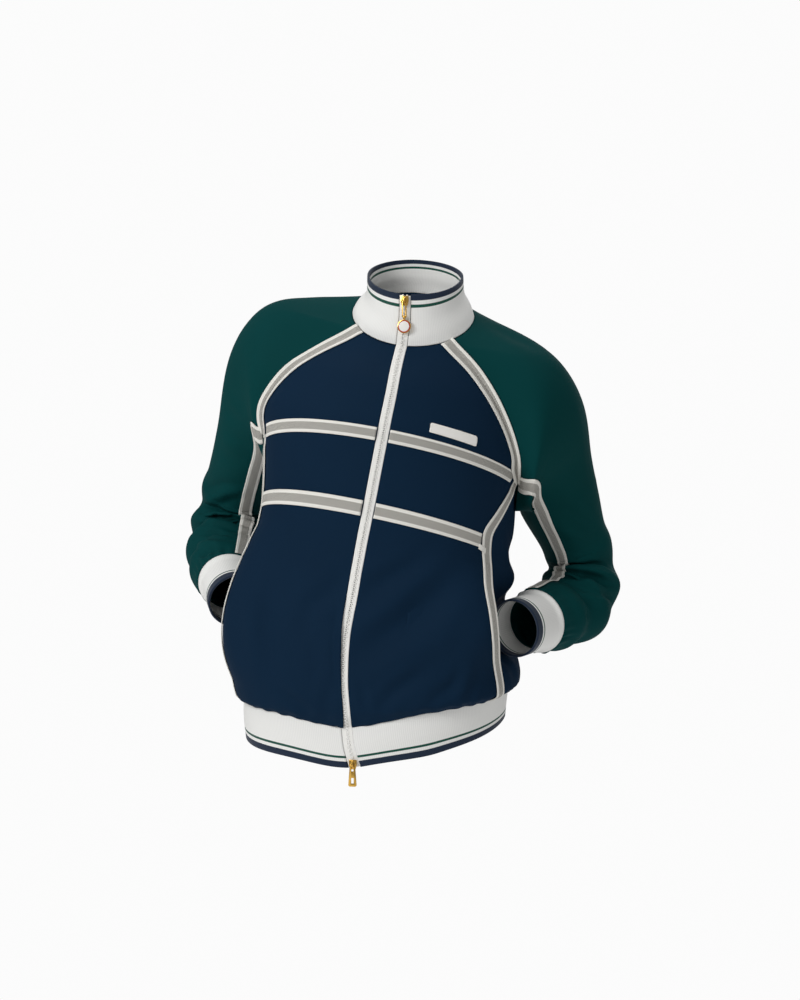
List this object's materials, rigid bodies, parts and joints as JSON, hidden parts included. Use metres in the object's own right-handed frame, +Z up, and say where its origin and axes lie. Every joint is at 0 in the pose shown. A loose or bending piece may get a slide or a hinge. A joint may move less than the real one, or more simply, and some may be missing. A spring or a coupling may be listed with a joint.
{
  "type": "zip-front track jacket, filled out as worn",
  "caption": "Zip-front track jacket with raglan sleeves, rib collar, cuffs and hem band, contrast tapes and side pockets, filled out as worn with the hands in its pockets",
  "frame": {"origin": "Centre of the neck seam, where the wearer's neck and shoulders carry the jacket", "axes": "+Z up, the front faces -Y, +X is the wearer's left"},
  "size_m": [0.5856, 0.3199, 0.6571],
  "materials": {
    "navy": "smooth double knit, soft sheen",
    "green": "smooth double knit, soft sheen",
    "lining": "thin knit",
    "rib": "fine rib knit",
    "tape": "woven tape",
    "zip": "woven zip tape and moulded coil",
    "gold": "polished gilt",
    "enamel": "glossy"
  },
  "bodies": {
    "jacket": {"front_right": "navy", "pocket_bag_right": "lining", "sleeve_right": "green", "cuff_right": "rib", "raglan_tape_right": "tape", "upper_tape_right": "tape", "lower_tape_right": "tape", "side_tape_right": "tape", "sleeve_tape_right": "tape", "zip_tape_right": "zip", "front_left": "navy", "pocket_bag_left": "lining", "sleeve_left": "green", "cuff_left": "rib", "raglan_tape_left": "tape", "upper_tape_left": "tape", "lower_tape_left": "tape", "side_tape_left": "tape", "sleeve_tape_left": "tape", "zip_tape_left": "zip", "back": "navy", "hem_band": "rib", "collar": "rib", "chest_patch": "enamel", "zip_chain": "zip", "slider_top": "gold", "slider_bottom": "gold"},
    "pull_link": {"pull_link": "gold"},
    "pull_charm": {"pull_charm": "enamel"},
    "pull_tab": {"pull_tab": "gold"}
  },
  "joints": [
    {"name": "link_swing", "type": "hinge", "parent": "jacket", "child": "pull_link", "pos_m": [0.00013, -0.0663, 0.01638], "axis": [-0.9999, -0.0092, -0.0123], "range_deg": [0, 150]},
    {"name": "charm_swing", "type": "hinge", "parent": "pull_link", "child": "pull_charm", "pos_m": [0.00038, -0.06813, -0.00294], "axis": [-0.9999, -0.0092, -0.0123], "range_deg": [0, 100]},
    {"name": "tab_swing", "type": "hinge", "parent": "jacket", "child": "pull_tab", "pos_m": [-0.05516, -0.117, -0.56018], "axis": [-0.9999, 0.0135, 0], "range_deg": [0, 150]}
  ]
}
